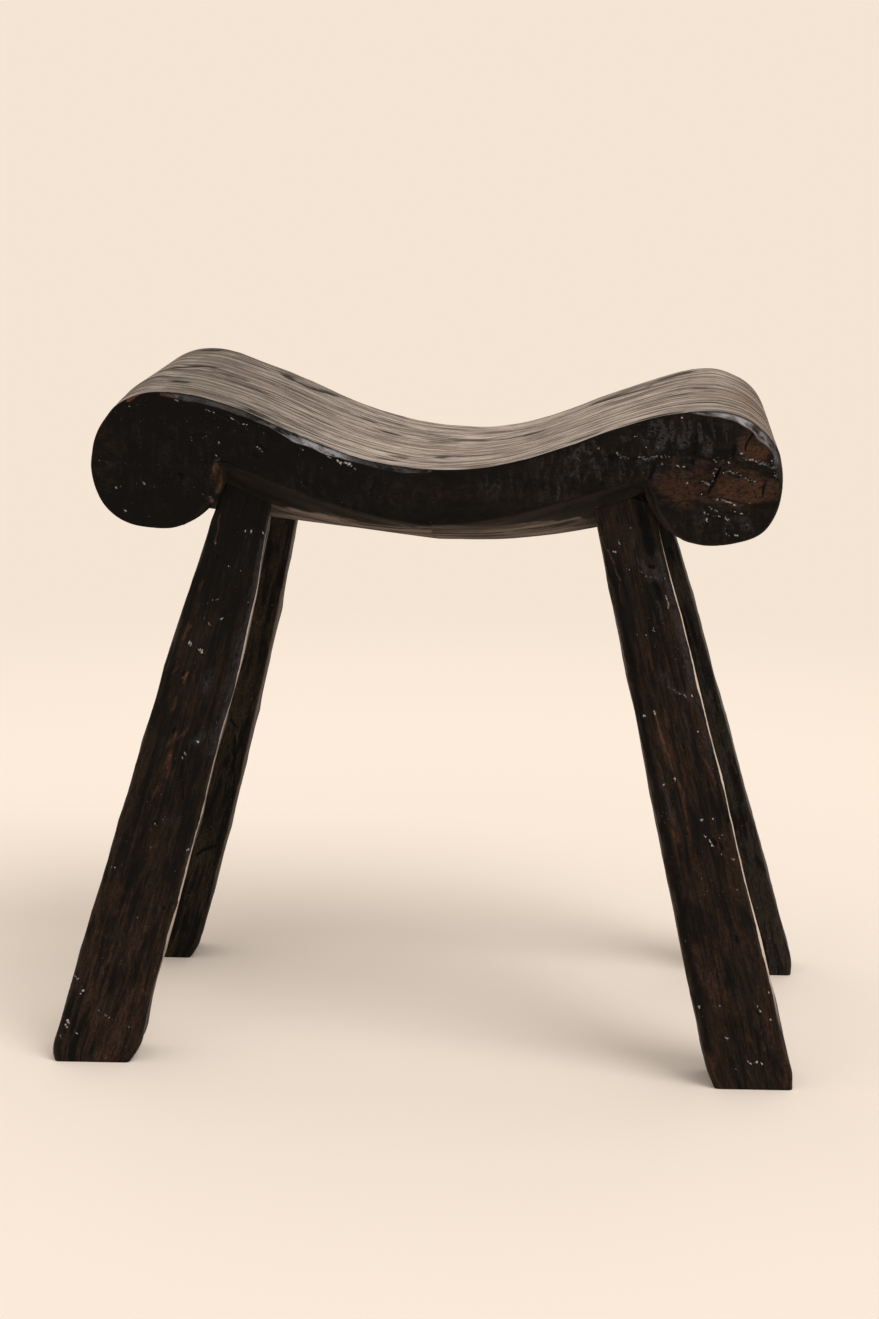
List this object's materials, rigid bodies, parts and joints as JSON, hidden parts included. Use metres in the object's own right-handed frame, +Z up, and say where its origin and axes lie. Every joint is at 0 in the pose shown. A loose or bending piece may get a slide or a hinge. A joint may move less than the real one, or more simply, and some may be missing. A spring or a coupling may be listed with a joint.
{
  "type": "stool",
  "caption": "Carved wooden saddle stool: a thick dipped seat with rolled ends on four splayed, tapered legs.",
  "frame": {"origin": "on the floor, under the middle of the rectangle that the four feet span", "axes": "+X along the seat, to the right from the front; +Y towards the back; +Z up"},
  "size_m": [0.512, 0.2832, 0.4538],
  "materials": {
    "seat_wood": "dark stained hardwood, worn matte grey-brown on top, waxed near-black on its faces",
    "leg_wood": "dark stained hardwood, waxed, hand hewn, worn to red-brown along its grain",
    "wedge_wood": "raw split hardwood, hidden"
  },
  "bodies": {
    "root": {"seat": "seat_wood", "leg_front_left": "leg_wood", "leg_front_right": "leg_wood", "leg_back_left": "leg_wood", "leg_back_right": "leg_wood", "wedge_front_left": "wedge_wood", "wedge_front_right": "wedge_wood", "wedge_back_left": "wedge_wood", "wedge_back_right": "wedge_wood"}
  },
  "joints": []
}
